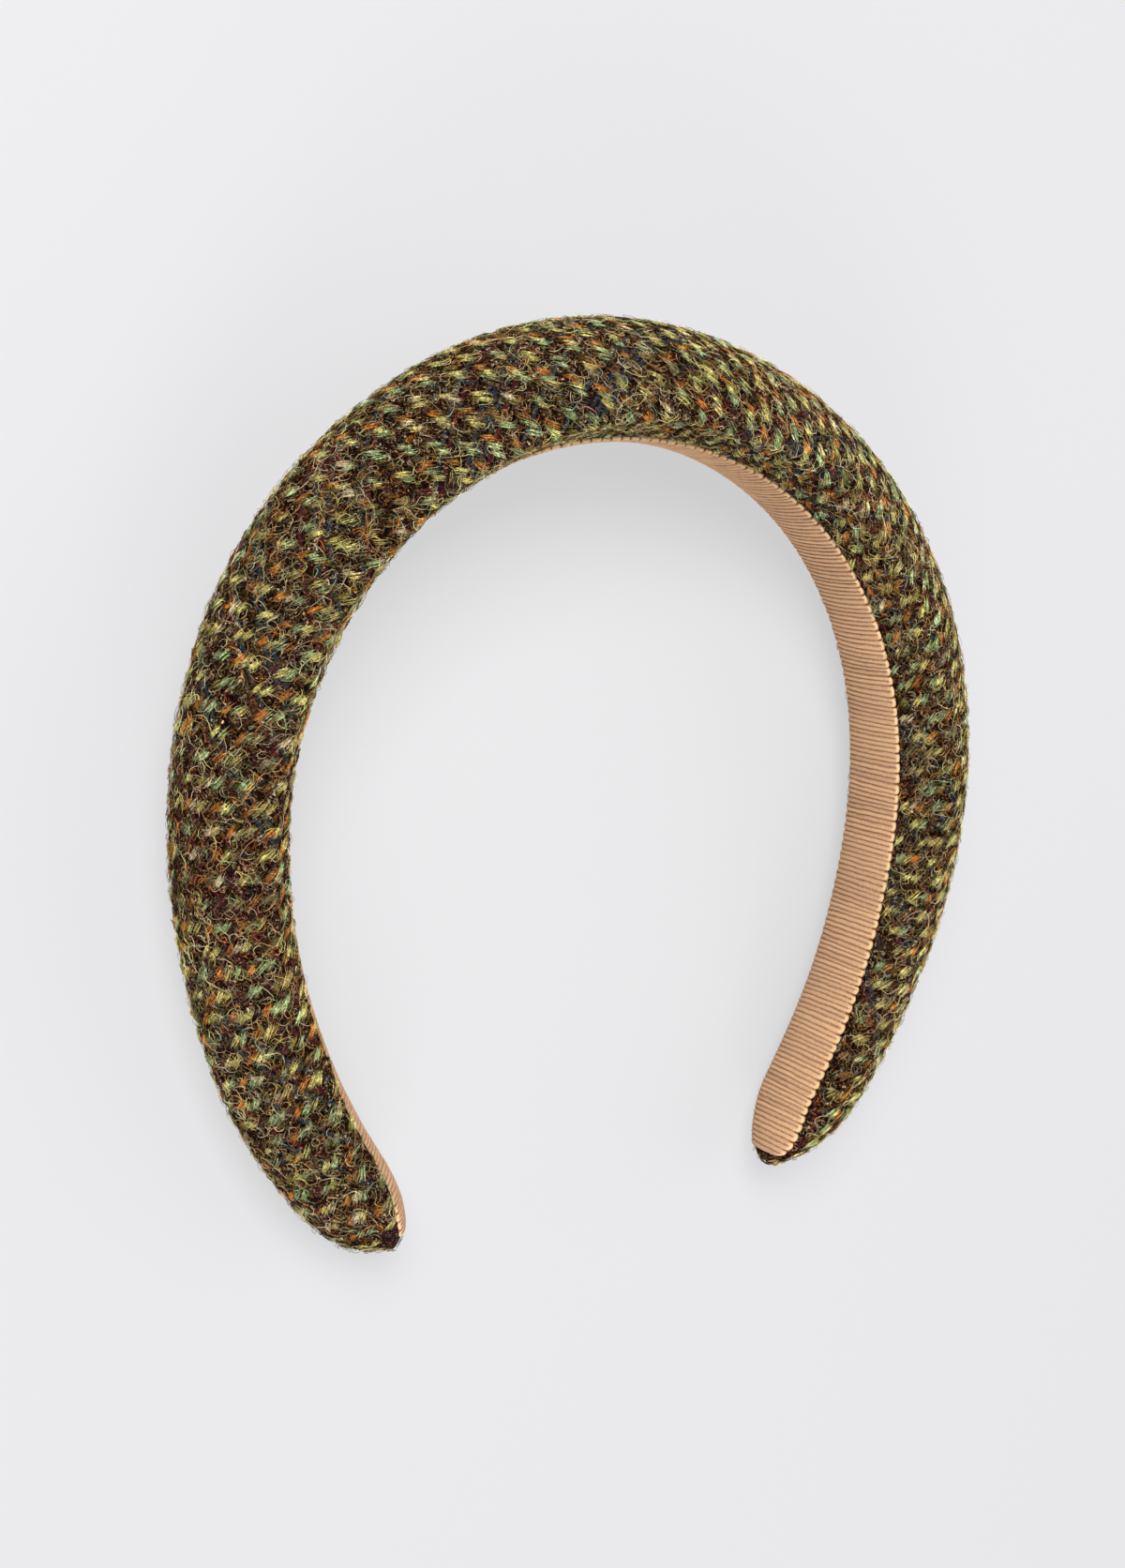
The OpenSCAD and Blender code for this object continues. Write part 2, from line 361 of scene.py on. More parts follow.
def wrapped(name, points, uv):
    """A grid wrapped into a closed skin. points is rings x (turns + 1) x 3, its first and last turn
    the same and its first and last ring a point each. uv is the cloth's own place, in metres."""
    rings, turns = points.shape[:2]
    deselect()
    bpy.ops.mesh.primitive_grid_add(x_subdivisions=turns - 1, y_subdivisions=rings - 1, size=1)
    piece = bpy.context.object
    piece.name = piece.data.name = name
    mesh = piece.data
    mesh.vertices.foreach_set("co", points.reshape(-1).astype(np.float32))
    index = np.zeros(len(mesh.loops), int)
    mesh.loops.foreach_get("vertex_index", index)
    layer = mesh.uv_layers.active
    layer.name = "Cloth"
    layer.uv.foreach_set("vector", uv.reshape(-1, 2)[index].reshape(-1).astype(np.float32))
    number = mesh.attributes.new("cage", "INT", "POINT")
    number.data.foreach_set("value", np.arange(rings * turns, dtype=np.int32))
    bpy.ops.object.mode_set(mode="EDIT")
    bpy.ops.mesh.select_all(action="SELECT")
    bpy.ops.mesh.remove_doubles(threshold=1e-7)
    bpy.ops.mesh.normals_make_consistent(inside=False)
    bpy.ops.object.mode_set(mode="OBJECT")
    mesh.polygons.foreach_set("use_smooth", np.ones(len(mesh.polygons), bool))
    return piece


def get_points(mesh):
    co = np.zeros(len(mesh.vertices) * 3, np.float32)
    mesh.vertices.foreach_get("co", co)
    return co.reshape(-1, 3).astype(float)


def set_points(mesh, co):
    mesh.vertices.foreach_set("co", np.asarray(co, np.float32).reshape(-1))
    mesh.update()


STRAND_SIDES = 3
# How high a strand's middle stays over the floor, past its own half thickness
FLOOR_CLEARANCE = 0.03 * MM
# The share of its cell of the painted picture that a strand leaves free on each side
CELL_EDGE = 0.08


def template_rod(rings):
    """A thin rod with pointed ends, as a primitive: the place of each vertex along it and round
    it, and its faces."""
    deselect()
    bpy.ops.mesh.primitive_uv_sphere_add(segments=STRAND_SIDES, ring_count=rings, radius=1)
    rod = bpy.context.object
    co = get_points(rod.data)
    along = np.rint(np.arccos(np.clip(co[:, 2], -1, 1)) / math.pi * rings).astype(int)
    around = np.arctan2(co[:, 1], co[:, 0])
    # the primitive's faces come in another order on each run, so they are sorted
    faces = [np.array(face) for face in sorted(tuple(p.vertices) for p in rod.data.polygons)]
    bpy.data.objects.remove(rod)
    return along, around, faces


def rod_uv(along, around, faces, count):
    """The rods' places in the OFBake layer, each rod in its own small cell."""
    local = np.stack([along / along.max(), (around + math.pi) / (2 * math.pi)], -1)
    local = local[np.concatenate(faces)]
    # a face that closes the ring takes its last edge at 1 and not at 0
    start = 0
    for face in faces:
        v = local[start:start + len(face), 1]
        if v.max() - v.min() > 0.5:
            v[v < 0.4] += 1
        start += len(face)
    local[:, 1] = np.minimum(local[:, 1], 1 + 1e-6)
    cells = int(math.ceil(math.sqrt(count)))
    number = np.arange(count)
    corner = np.stack([number % cells, number // cells], -1) / cells
    return corner[:, None] + (CELL_EDGE + (1 - 2 * CELL_EDGE) * local[None]) / cells


def strands(name, cloth, path, lift, half, tints):
    """Many thin closed rods joined in one mesh. path is strands x points x 2 in cloth coordinates,
    lift and half, their half thickness, are strands x points, and tints is strands x 3."""
    count, points = path.shape[:2]
    along, around, faces = template_rod(points - 1)
    centre, normal = cloth.place(path[..., 0], path[..., 1])
    centre = centre + normal * lift[..., None]
    centre[..., 2] = np.maximum(centre[..., 2], half + FLOOR_CLEARANCE)
    ahead = np.gradient(centre, axis=1)
    ahead /= np.linalg.norm(ahead, axis=-1, keepdims=True) + 1e-12
    side = np.cross(normal, ahead)
    side /= np.linalg.norm(side, axis=-1, keepdims=True) + 1e-12
    up = np.cross(ahead, side)
    c, s = np.cos(around)[None, :, None], np.sin(around)[None, :, None]
    radius = half[:, along, None]
    co = centre[:, along] + side[:, along] * radius * c + up[:, along] * radius * s
    each, face_count = len(along), count * len(faces)
    loops = (np.concatenate(faces)[None] + each * np.arange(count)[:, None]).reshape(-1)
    sizes = np.tile([len(face) for face in faces], count)
    mesh = bpy.data.meshes.new(name)
    mesh.vertices.add(count * each)
    mesh.vertices.foreach_set("co", co.reshape(-1).astype(np.float32))
    mesh.loops.add(len(loops))
    mesh.loops.foreach_set("vertex_index", loops.astype(np.int32))
    mesh.polygons.add(face_count)
    mesh.polygons.foreach_set("loop_start",
                              np.concatenate([[0], np.cumsum(sizes)[:-1]]).astype(np.int32))
    mesh.update(calc_edges=True)
    mesh.polygons.foreach_set("use_smooth", np.ones(face_count, bool))
    tint = mesh.attributes.new("tint", "FLOAT_COLOR", "POINT")
    rgba = np.concatenate([tints, np.ones((count, 1))], 1)
    tint.data.foreach_set("color", np.repeat(rgba, each, axis=0).reshape(-1).astype(np.float32))
    layer = mesh.uv_layers.new(name="OFBake")
    uv = rod_uv(along, around, faces, count)
    layer.uv.foreach_set("vector", uv.reshape(-1).astype(np.float32))
    mesh.validate()
    piece = bpy.data.objects.new(name, mesh)
    bpy.context.scene.collection.objects.link(piece)
    return piece


# How far a slope of the cloth is measured to each side, and the least and most that a tip may
# squeeze or stretch the cloth
PROBE = 0.5 * MM
SQUEEZE = (0.3, 2)
# How far from the end of a tip nothing is laid on the cloth
TIP_MARGIN = 0.5 * MM


class Cloth:
    """The finished cover as a smooth map from cloth coordinates to points and normals. Cloth
    coordinates are real lengths: along the crest from the crown's middle to the right, and round
    the section from the crest towards the front edge."""

    def __init__(self, band, grid, along, degrees):
        self.grid, self.along, self.degrees, self.band = grid, along, degrees, band
        rings, turns = grid.shape[:2]
        crest = (turns - 1) // 2
        line = np.concatenate([[0], np.cumsum(np.linalg.norm(np.diff(grid[:, crest], axis=0),
                                                             axis=1))])
        self.length = line - np.interp(0, along, line)
        steps = np.linalg.norm(np.diff(grid, axis=1), axis=-1)
        girth = np.concatenate([np.zeros((rings, 1)), np.cumsum(steps, axis=1)], 1)
        self.girth = girth - girth[:, crest:crest + 1]
        self.front, self.back = self.girth[:, -1], -self.girth[:, 0]
        self.shares = np.linspace(-1, 1, 4 * turns)
        self.turn_at = np.stack([
            np.interp(np.where(self.shares > 0, self.shares * max(f, 1e-9),
                               self.shares * max(b, 1e-9)), g, np.arange(turns))
            for g, f, b in zip(self.girth, self.front, self.back)])
        ahead, over = np.gradient(grid, axis=0), np.gradient(grid, axis=1)
        over[:, 0] = over[:, -1] = grid[:, 1] - grid[:, -2]
        normal = np.cross(ahead, over)
        centre = grid[:, :-1].mean(1, keepdims=True)
        if ((grid - centre) * normal).sum() < 0:
            normal = -normal
        normal[0], normal[-1] = normal[1].mean(0), normal[-2].mean(0)
        self.normal = normal / (np.linalg.norm(normal, axis=-1, keepdims=True) + 1e-12)

    @staticmethod
    def blend(table, r, c):
        r = np.clip(r, 0, table.shape[0] - 1.0001)
        c = np.clip(c, 0, table.shape[1] - 1.0001)
        i, j = r.astype(int), c.astype(int)
        f, g = r - i, c - j
        if table.ndim == 3:
            f, g = f[..., None], g[..., None]
        return ((table[i, j] * (1 - f) + table[i + 1, j] * f) * (1 - g)
                + (table[i, j + 1] * (1 - f) + table[i + 1, j + 1] * f) * g)

    def sides(self, s):
        """How far the cloth reaches to the front and to the back of its crest."""
        return np.interp(s, self.length, self.front), np.interp(s, self.length, self.back)

    def ring_and_turn(self, s, t):
        r = np.interp(s, self.length, np.arange(len(self.length)))
        share = np.clip(t / np.where(t > 0, *self.sides(s)).clip(1e-9), -1, 1)
        c = (share + 1) / 2 * (len(self.shares) - 1)
        return r, self.blend(self.turn_at, r, c)

    def place(self, s, t):
        r, c = self.ring_and_turn(s, t)
        normal = self.blend(self.normal, r, c)
        return self.blend(self.grid, r, c), normal / np.linalg.norm(normal, axis=-1, keepdims=True)

    def steps(self, s, t, offset):
        """Turns real lengths along the band and round it, starts x points x 2, into steps in cloth
        coordinates, which are squeezed and slanted where a tip rounds off."""
        ahead, over = ((self.place(s + a, t + b)[0] - self.place(s - a, t - b)[0]) / (2 * PROBE)
                       for a, b in ((PROBE, 0), (0, PROBE)))
        size = np.linalg.norm(over, axis=-1).clip(*SQUEEZE)
        over = over / size[:, None]
        side = np.cross(over, self.place(s, t)[1])
        side *= np.sign((side * ahead).sum(-1))[:, None]
        far = (side * ahead).sum(-1).clip(*SQUEEZE)
        slant = (over * ahead).sum(-1).clip(-SQUEEZE[1], SQUEEZE[1])
        along = offset[..., 0] / far[:, None]
        return np.stack([along, (offset[..., 1] - along * slant[:, None]) / size[:, None]], -1)

    def open_to_view(self, s, t, ribbon, margin):
        """True where the cloth isn't under the ribbon or past the end of a tip."""
        c = self.ring_and_turn(s, t)[1]
        along = np.interp(s, self.length, self.along)
        degrees = np.interp(c, np.arange(len(self.degrees)), self.degrees)
        on_head = (degrees < 0) | (degrees > 180)
        across = self.band.half_width(np.abs(along)) * np.abs(np.cos(np.radians(degrees)))
        ends = self.band.form.half_arc - ribbon.setback
        under = (on_head & (across < ribbon.width / 2 + margin)
                 & (np.abs(along) < ends + margin))
        inside = (s > self.length[0] + TIP_MARGIN) & (s < self.length[-1] - TIP_MARGIN)
        front, back = self.sides(s)
        return inside & ~under & (t < front) & (t > -back)


# Materials


class Nodes:
    """Adds and joins the nodes of one material or group."""

    def __init__(self, tree):
        self.tree = tree
        tree.nodes.clear()

    def add(self, kind, **values):
        """Adds a node and sets its properties and, with _ for a space, its inputs by name."""
        node = self.tree.nodes.new(kind)
        for key, value in values.items():
            if hasattr(node, key):
                setattr(node, key, value)
            else:
                self.feed(value, node.inputs[key.replace("_", " ")])
        return node

    def feed(self, value, socket):
        if isinstance(value, bpy.types.NodeSocket):
            self.tree.links.new(value, socket)
        else:
            socket.default_value = value

    def worked_out(self, kind, operation, values):
        node = self.tree.nodes.new(kind)
        node.operation = operation
        for value, socket in zip(values, node.inputs):
            self.feed(value, socket)
        return node.outputs

    def math(self, operation, *values):
        return self.worked_out("ShaderNodeMath", operation, values)[0]

    def plus(self, a, b):
        return self.math("ADD", a, b)

    def times(self, a, b):
        return self.math("MULTIPLY", a, b)

    def arch(self, value):
        """Rises and falls once between two whole numbers."""
        return self.math("SINE", self.times(self.math("FRACT", value), math.pi))

    def vector(self, operation, *values):
        outputs = self.worked_out("ShaderNodeVectorMath", operation, values)
        return outputs["Value" if operation == "DOT_PRODUCT" else "Vector"]

    def spot(self):
        """A point's place in its piece, in metres."""
        return self.add("ShaderNodeTexCoord").outputs["Object"]

    def cloth_place(self):
        """A point's own place on the cloth, in metres."""
        return self.add("ShaderNodeUVMap", uv_map="Cloth").outputs[0]

    def tint(self):
        """The colour that a strand carries."""
        return self.add("ShaderNodeAttribute", attribute_name="tint").outputs["Color"]

    def random(self, number):
        """A random value for each whole number."""
        return self.add("ShaderNodeTexWhiteNoise", noise_dimensions="1D", W=number).outputs[0]

    def noise(self, vector, scale, detail=2.0, distortion=0.0):
        return self.add("ShaderNodeTexNoise", Vector=vector, Scale=scale, Detail=detail,
                        Distortion=distortion).outputs["Fac"]

    def ramp(self, value, low, high, out_low=0.0, out_high=1.0, smooth=True):
        node = self.tree.nodes.new("ShaderNodeMapRange")
        node.interpolation_type = "SMOOTHSTEP" if smooth else "LINEAR"
        for x, socket in zip((value, low, high, out_low, out_high), node.inputs):
            self.feed(x, socket)
        return node.outputs[0]

    def mix(self, factor, a, b, blend="MIX"):
        node = self.tree.nodes.new("ShaderNodeMix")
        node.data_type, node.blend_type = "RGBA", blend
        self.feed(factor, node.inputs["Factor"])
        for value, key in ((a, 6), (b, 7)):
            if not isinstance(value, bpy.types.NodeSocket):
                value = (*value[:3], 1)
            self.feed(value, node.inputs[key])
        return node.outputs[2]

    def shaded(self, colour, shade):
        """A colour made lighter or darker by a number."""
        grey = self.add("ShaderNodeCombineColor", Red=shade, Green=shade, Blue=shade)
        return self.mix(1.0, colour, grey.outputs[0], "MULTIPLY")

    def stripes(self, value, stops):
        """A colour ramp of even steps with sharp changes."""
        node = self.tree.nodes.new("ShaderNodeValToRGB")
        band = node.color_ramp
        band.interpolation = "CONSTANT"
        while len(band.elements) < len(stops):
            band.elements.new(0.5)
        for k, stop in enumerate(stops):
            band.elements[k].position = k / len(stops)
            band.elements[k].color = (*stop, 1)
        self.feed(value, node.inputs[0])
        return node.outputs[0]


def new_group(name, inputs, outputs):
    """An empty shader node group with named sockets, and its nodes helper, inputs and outputs."""
    tree = bpy.data.node_groups.new(name, "ShaderNodeTree")
    for key, kind, default in inputs:
        socket = tree.interface.new_socket(key, in_out="INPUT", socket_type=kind)
        if default is not None:
            socket.default_value = default
    for key, kind in outputs:
        tree.interface.new_socket(key, in_out="OUTPUT", socket_type=kind)
    nodes = Nodes(tree)
    return nodes, nodes.add("NodeGroupInput").outputs, nodes.add("NodeGroupOutput").inputs


FLOAT, VECTOR = "NodeSocketFloat", "NodeSocketVector"


def wool_group():
    """Curled fine wool, as a mask of thin lines, a height and a slow change from place to place.
    The lines are where three noises of different sizes cross their middle level."""
    found = bpy.data.node_groups.get("Curled wool")
    if found:
        return found
    n, given, out = new_group("Curled wool", [("Vector", VECTOR, None), ("Scale", FLOAT, 1.0),
                                              ("Line", FLOAT, 0.03)],
                              [("Strands", FLOAT), ("Height", FLOAT), ("Drift", FLOAT)])
    masks = []
    for scale, shift, wide in ((420, 0.0, 1.0), (640, 3.7, 1.1), (900, 7.9, 1.3)):
        moved = n.vector("ADD", given["Vector"], (shift, shift * 0.6, -shift))
        size = n.times(given["Scale"], float(scale))
        level = n.noise(moved, size, 1.0, 0.6)
        off = n.math("ABSOLUTE", n.math("SUBTRACT", level, 0.5))
        width = n.times(given["Line"], wide)
        masks.append(n.math("SUBTRACT", 1.0, n.ramp(off, 0.0, width)))
    both = n.math("MAXIMUM", n.math("MAXIMUM", masks[0], masks[1]), masks[2])
    n.feed(both, out["Strands"])
    rough = n.noise(given["Vector"], n.times(given["Scale"], 1500.0), 2.0)
    n.feed(n.plus(n.times(both, 0.75), n.times(rough, 0.25)), out["Height"])
    n.feed(n.noise(given["Vector"], n.times(given["Scale"], 260.0), 2.0), out["Drift"])
    return n.tree


def new_material(name, roughness=0.9, sheen=0.0, sheen_tint=(1, 1, 1), specular=0.3):
    """A material with a Principled shader whose plain numbers are set on its own sockets."""
    material = bpy.data.materials.new(name)
    material.use_nodes = True
    n = Nodes(material.node_tree)
    shader = n.add("ShaderNodeBsdfPrincipled", Roughness=roughness, Sheen_Weight=sheen,
                   Sheen_Roughness=0.5, Sheen_Tint=(*sheen_tint, 1), Specular_IOR_Level=specular)
    n.add("ShaderNodeOutputMaterial", Surface=shader.outputs[0])
    return material, n, shader


def bump(n, shader, height, distance, strength=1.0):
    """Lets a height move the shading by a distance in millimetres."""
    node = n.add("ShaderNodeBump", Strength=strength, Distance=distance * MM, Height=height)
    n.feed(node.outputs[0], shader.inputs["Normal"])


def place_wool(n, spot, scale, line):
    """The curled wool's outputs at a place, finer with scale and thicker with line."""
    return n.add("ShaderNodeGroup", node_tree=wool_group(), Vector=spot, Scale=scale,
                 Line=line).outputs


def weave_steps(weave):
    """One crossing along a light yarn and one along a cross yarn, in cloth coordinates."""
    light = weave.step * np.array([math.cos(weave.lean), math.sin(weave.lean)])
    cross = weave.cross_step * np.array([math.cos(weave.cross_lean), math.sin(weave.cross_lean)])
    return light, cross


def ground_material(weave, colours):
    """The cloth between the light floats: dark cross yarns under a mat of fine wool, with shade painted
    near black between the rows of light yarns.
    """
    material, n, shader = new_material("Tweed ground", 0.95, specular=0.02)
    # p counts the light yarns and q the crossings along one, from the cloth's own place
    light, cross = weave_steps(weave)
    area = light[0] * cross[1] - light[1] * cross[0]
    place = n.cloth_place()
    by_light = (cross[1] / area, -cross[0] / area, 0.0)
    by_cross = (-light[1] / area, light[0] / area, 0.0)
    p = n.vector("DOT_PRODUCT", place, by_light)
    q = n.vector("DOT_PRODUCT", place, by_cross)
    base = n.stripes(n.random(n.math("FLOOR", p)), [colours.bark, colours.plum, colours.bark,
                                                    colours.pine, colours.bark, colours.bark])
    twist = n.math("SINE", n.times(q, 2 * math.pi))
    ridge = n.times(n.arch(p), n.plus(0.8, n.times(twist, 0.2)))
    wool = place_wool(n, n.spot(), 1.15, 0.015)
    fibre = n.stripes(n.ramp(wool["Drift"], 0.3, 0.7, smooth=False),
                      [colours.olive, colours.tan, colours.umber, colours.straw, colours.rust,
                       colours.plum, colours.tan, colours.umber])
    # painted shade: where the ridge falls between the rows of light yarns, and the bump sinks, the
    # cloth is painted near black
    dark = n.mix(n.ramp(ridge, 0.1, 0.9), tuple(0.15 * c for c in colours.bark), base)
    skin = n.mix(n.times(wool["Strands"], 0.85), dark, fibre)
    n.feed(skin, shader.inputs["Base Color"])
    height = n.plus(n.times(ridge, 0.6), n.times(wool["Height"], 0.5))
    bump(n, shader, height, 0.4)
    return material


def yarn_material(colours):
    """Wool in the floats, in the colour that each fibre carries, under finer wool."""
    material, n, shader = new_material("Dyed wool", 0.8, specular=0.06)
    spot = n.spot()
    wool = place_wool(n, spot, 1.35, 0.035)
    skin = n.shaded(n.tint(), n.ramp(wool["Drift"], 0.25, 0.75, 0.6, 1.35))
    over = n.stripes(n.ramp(n.noise(spot, 500.0, 1.0), 0.35, 0.65, smooth=False),
                     [colours.umber, colours.straw, colours.bark, colours.tan, colours.olive])
    n.feed(n.mix(n.times(wool["Strands"], 0.72), skin, over), shader.inputs["Base Color"])
    bump(n, shader, wool["Height"], 0.25)
    return material


def strand_material():
    """Loose strands: the colour that each one carries."""
    material, n, shader = new_material("Loose wool", 0.7, specular=0.08)
    shade = n.ramp(n.noise(n.spot(), 700.0, 1.0), 0.3, 0.7, 0.75, 1.2)
    n.feed(n.shaded(n.tint(), shade), shader.inputs["Base Color"])
    return material


def ribbon_material(sizes, colours):
    """Grosgrain: fine lengthwise threads over round ribs, with shade painted in the grooves between the
    ribs and, more lightly, between the threads.
    """
    material, n, shader = new_material("Grosgrain ribbon", 0.7, 0.12, (1, 0.8, 0.6), 0.12)
    place = n.cloth_place()
    u, v = n.add("ShaderNodeSeparateXYZ", Vector=place).outputs[:2]
    # the shading of the ribs wanders a little to each side of their mesh
    wave = n.math("SUBTRACT", n.noise(n.vector("MULTIPLY", place, (1.0, 0.6, 1.0)), 420.0, 1.0), 0.5)
    u = n.plus(u, n.times(wave, 0.5 * MM))
    rib = n.math("DIVIDE", u, sizes.rib_pitch)
    number = n.math("FLOOR", rib)
    # the threads of one rib lie between those of the next
    thread = n.math("DIVIDE", v, sizes.thread)
    stagger = n.times(n.math("MODULO", number, 2.0), 0.5)
    fine = n.math("SINE", n.times(n.plus(thread, stagger), 2 * math.pi))
    fine = n.plus(0.5, n.times(fine, 0.5))
    patch = n.noise(n.spot(), 60.0, 3.0)
    thin = n.noise(n.vector("MULTIPLY", place, (1.0, 6.0, 1.0)), 900.0, 2.0)
    faint = n.ramp(n.noise(place, 240.0, 2.0), 0.3, 0.7, 0.35, 0.0)
    # painted shade: the ribs' tops take the ribbon's colour, and the grooves between them and the gaps
    # between the fine threads are painted darker
    shade = n.times(n.math("MAXIMUM", n.ramp(n.arch(rib), -0.1, 0.95), faint),
                    n.plus(0.64, n.times(fine, 0.36)))
    base = n.mix(shade, colours.groove_shade, colours.ribbon)
    # each rib is also a little darker at random, mixed towards the painted groove shade's colour
    base = n.mix(n.times(n.random(number), 0.3), base, colours.groove_shade)
    base = n.mix(n.ramp(patch, 0.3, 0.7, 0.0, 0.35), base, tuple(0.7 * c for c in colours.ribbon))
    base = n.mix(n.ramp(thin, 0.35, 0.75, 0.0, 0.24), base, (0.97, 0.84, 0.7))
    # the ribs turn back in pairs at the ribbon's edges, in pale loops, with shade painted in the
    # notches between them
    edge = n.ramp(n.math("ABSOLUTE", v), sizes.width / 2 - 0.5 * MM, sizes.width / 2 - 0.1 * MM)
    loop = n.mix(n.ramp(n.arch(n.times(rib, 0.5)), 0.0, 0.6), colours.groove_shade, colours.selvedge)
    base = n.mix(edge, base, loop)
    n.feed(base, shader.inputs["Base Color"])
    height = n.plus(n.times(fine, 0.6), n.times(thin, 0.4))
    bump(n, shader, height, 0.25, 0.8)
    return material


# The pieces


def settings(context, *names):
    """The named property groups of the scene."""
    return [getattr(context.scene, "headband_" + name) for name in names]


# The cover's skin before it is smoothed: rings along the straight of the band and over a tip, and
# turns round the section, from the middle of the head side round over the crest, in degrees
RINGS_STRAIGHT, RINGS_TIP, TURNS = 92, 10, 52
AROUND = -90 + 360 * np.arange(TURNS + 1) / TURNS
# Places past the ribbon's edge, in millimetres: from where to where the cover comes up from the
# nap's depth under the ribbon, swells beside it, and sinks again
UNDER_FULL, UNDER_START = -2, -1
BESIDE_START, BESIDE_FULL = -0.8, 0.2
FADE_START, FADE_END = 1, 5
# Half the length over which the right leg's raise comes in, about the crown
RAISE_REACH = 30 * MM
# Points held less than this share are left free in the simulation
HELD_LEAST = 0.01
# The cloth simulation: how many frames it runs, and a light cloth pushed out from inside
PUFF_FRAMES = 12
PUFF = {
    "quality": 6, "mass": 0.0003, "use_pressure": True, "uniform_pressure_force": 4500.0,
    "tension_stiffness": 8, "compression_stiffness": 8, "shear_stiffness": 4,
    "bending_stiffness": 0.2, "vertex_group_mass": "held",
}
# The finished cover's map, which the floats and the loose wool lie on
SURFACE = {}


def ring_places(form):
    """The rings' places along the band, tip to tip, closer together where a tip rounds off."""
    straight = form.half_arc - form.tip_round
    tip = straight + form.tip_round * np.sin(np.arange(1, RINGS_TIP + 1) / RINGS_TIP * math.pi / 2)
    return np.concatenate([-tip[::-1], np.linspace(-straight, straight, RINGS_STRAIGHT + 1), tip])


def cover_grid(band, inset):
    """The cover's skin as rings x turns."""
    along = ring_places(band.form)
    points = band.section(along[:, None], AROUND[None], inset)
    for k in (0, -1):
        end = np.array([along[k]])
        points[k] = band.on_band(end, np.zeros(1), band.edge_out(np.abs(end)))
    return band.rested(points)


def raised(form, along):
    """How much prouder the head side is than in the part: the right leg's, and by the left tip."""
    right = 0.5 + 0.5 * np.tanh(along / RAISE_REACH)
    left = np.interp(1 + along / form.half_arc, *np.array(LEFT_RAISE).T)
    return form.right_raise * right + form.left_raise * left


def cover_inset(band, ribbon):
    """How far inside the part's skin the cloth lies, as rings x turns. It leaves room for the nap,
    but not under the ribbon, swells past the ribbon's front edge and stays back by its back edge."""
    form, along, turn = band.form, ring_places(band.form), np.radians(AROUND)[None]
    across = -band.half_width(np.abs(along))[:, None] * np.cos(turn)
    past = (np.abs(across) - ribbon.width / 2) / MM
    on_head = np.sin(turn) < 0
    under = np.clip((UNDER_START - past) / (UNDER_START - UNDER_FULL), 0, 1) * on_head
    beside = np.clip((past - BESIDE_START) / (BESIDE_FULL - BESIDE_START), 0, 1) * on_head
    bulge = beside * np.clip((FADE_END - past) / (FADE_END - FADE_START), 0, 1) * (across > 0)
    leg = np.interp(1 + along / form.half_arc, *np.array(LEFT_BULGE).T)
    inset = form.nap * (1 - under)
    inset = inset - (form.ribbon_bulge + form.left_bulge * leg[:, None]) * bulge
    inset = inset + form.back_inset * beside * (across < 0)
    return inset - raised(form, along)[:, None] * on_head


def puff(piece, held, cap):
    """Lets the padding push the cover out, as cloth under pressure, and caps how far it moves."""
    start = get_points(piece.data)
    group = piece.vertex_groups.new(name="held")
    for k in np.nonzero(held > HELD_LEAST)[0]:
        group.add([int(k)], float(held[k]), "REPLACE")
    make_active(piece)
    cloth = piece.modifiers.new("Cloth", "CLOTH")
    for key, value in PUFF.items():
        setattr(cloth.settings, key, value)
    cloth.settings.effector_weights.gravity = 0
    cloth.collision_settings.use_collision = False
    cloth.collision_settings.use_self_collision = False
    scene = bpy.context.scene
    for number in range(1, PUFF_FRAMES + 1):
        scene.frame_set(number)
    bpy.ops.object.modifier_apply(modifier=cloth.name)
    scene.frame_set(1)
    move = get_points(piece.data) - start
    far = np.linalg.norm(move, axis=1, keepdims=True)
    end = start + move * cap * np.tanh(far / cap) / np.maximum(far, 1e-9)
    end[:, 2] = np.maximum(end[:, 2], 0)
    set_points(piece.data, end)
    piece.vertex_groups.clear()


class HEADBAND_OT_cover(bpy.types.Operator):
    """Adds the padded tweed cover, pushed out by its padding as cloth under pressure"""
    bl_idname = "headband.cover"
    bl_label = "Tweed cover"
    bl_options = {"REGISTER", "UNDO"}

    def execute(self, context):
        form, ribbon, weave, colours = settings(context, "form", "ribbon", "weave", "colours")
        band = Band(form)
        along, inset = ring_places(form), cover_inset(band, ribbon)
        goal = cover_grid(band, inset)
        start = cover_grid(band, inset + form.slack)
        cloth = Cloth(band, goal, along, AROUND)
        uv = np.stack([np.broadcast_to(cloth.length[:, None], cloth.girth.shape), cloth.girth], -1)
        # the head side stays where the ribbon needs it
        head = np.clip(-np.sin(np.radians(AROUND))[None] * 3.0, 0, 1) * np.ones((len(along), 1))
        points = start * (1 - head[..., None]) + goal * head[..., None]
        points[:, -1] = points[:, 0]
        piece = wrapped("tweed_cover_padded", points, uv)
        number = np.zeros(len(piece.data.vertices), np.int32)
        piece.data.attributes["cage"].data.foreach_get("value", number)
        puff(piece, head.reshape(-1)[number], form.swell_cap)
        make_active(piece)
        smoothing = piece.modifiers.new("Smoothing", "SUBSURF")
        smoothing.levels = smoothing.render_levels = 1
        bpy.ops.object.modifier_apply(modifier=smoothing.name)
        # the cage's own points come first in the smoothed mesh
        final = get_points(piece.data)
        grid = goal.reshape(-1, 3).copy()
        grid[number] = final[:len(number)]
        grid = grid.reshape(goal.shape)
        grid[:, -1] = grid[:, 0]
        grid[0], grid[-1] = grid[0, 0], grid[-1, 0]
        final[:, 2] = np.maximum(final[:, 2], 0)
        set_points(piece.data, final)
        SURFACE["cloth"] = Cloth(band, grid, along, AROUND)
        piece.data.attributes.remove(piece.data.attributes["cage"])
        piece.data.materials.append(ground_material(weave, colours))
        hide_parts("tweed_cover")
        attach(piece, "root")
        return {"FINISHED"}


